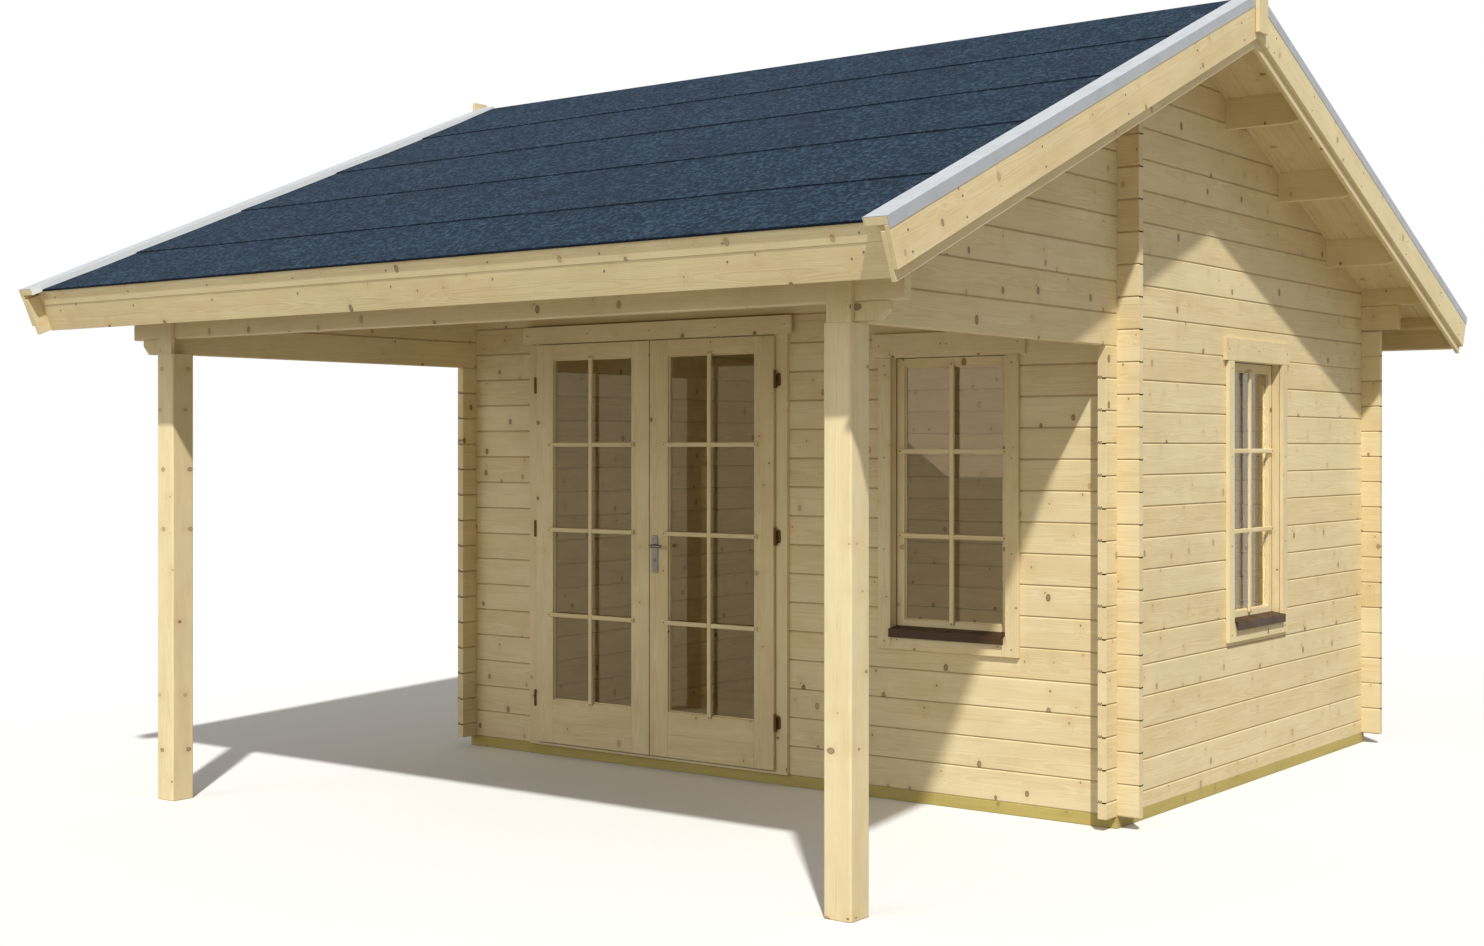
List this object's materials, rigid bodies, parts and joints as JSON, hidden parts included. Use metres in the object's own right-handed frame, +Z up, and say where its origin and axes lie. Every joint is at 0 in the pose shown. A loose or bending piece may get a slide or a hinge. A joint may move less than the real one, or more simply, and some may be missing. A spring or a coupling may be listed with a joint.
{
  "type": "log cabin",
  "caption": "Gabled cabin of interlocking planed logs, with glazed double doors, windows and a felt roof that runs forward over a porch on posts.",
  "frame": {"origin": "on the ground, below the middle of the ridge", "axes": "+X to the right seen from the porch, +Y from the porch to the rear wall, +Z up"},
  "size_m": [4.68, 5.8634, 3.5649],
  "materials": {
    "pine": "planed, untreated",
    "treated_pine": "pressure treated",
    "felt": "mineral granules",
    "metal_trim": "satin",
    "sill_metal": "satin",
    "iron": "satin",
    "handle_steel": "brushed",
    "glass": "clear"
  },
  "bodies": {
    "cabin": {"foundation_beams": "treated_pine", "floor": "pine", "front_wall_left": "pine", "front_wall_middle": "pine", "front_wall_right": "pine", "front_wall_below_window": "pine", "front_wall_upper": "pine", "rear_wall": "pine", "left_wall": "pine", "left_gable": "pine", "right_wall_front": "pine", "right_wall_rear": "pine", "right_wall_below_window": "pine", "right_gable": "pine", "left_post": "pine", "right_post": "pine", "front_beam": "pine", "post_heads": "pine", "ridge_purlin": "pine", "purlin_set": "pine", "front_deck": "pine", "rear_deck": "pine", "front_felt": "felt", "rear_felt": "felt", "outer_verge_boards": "pine", "inner_verge_boards": "pine", "apex_boards": "pine", "edge_strips": "pine", "edge_caps": "metal_trim", "eave_boards": "pine", "eave_trims": "pine", "eave_battens": "pine", "door_frame": "pine", "frame_hinges": "iron", "window_frames": "pine", "window_sashes": "pine", "window_glass": "glass", "trim_boards": "pine", "window_sills": "sill_metal"},
    "left_leaf": {"left_door": "pine", "left_door_glass": "glass", "left_door_hinges": "iron"},
    "right_leaf": {"right_door": "pine", "right_door_glass": "glass", "right_door_hinges": "iron", "door_handle": "handle_steel"}
  },
  "joints": [
    {"name": "left_door_swing", "type": "hinge", "parent": "cabin", "child": "left_leaf", "pos_m": [-1.394, -0.536, 1.1], "axis": [0, 0, -1], "range_deg": [0, 110]},
    {"name": "right_door_swing", "type": "hinge", "parent": "cabin", "child": "right_leaf", "pos_m": [0.15, -0.536, 1.1], "axis": [0, 0, 1], "range_deg": [0, 110]}
  ]
}
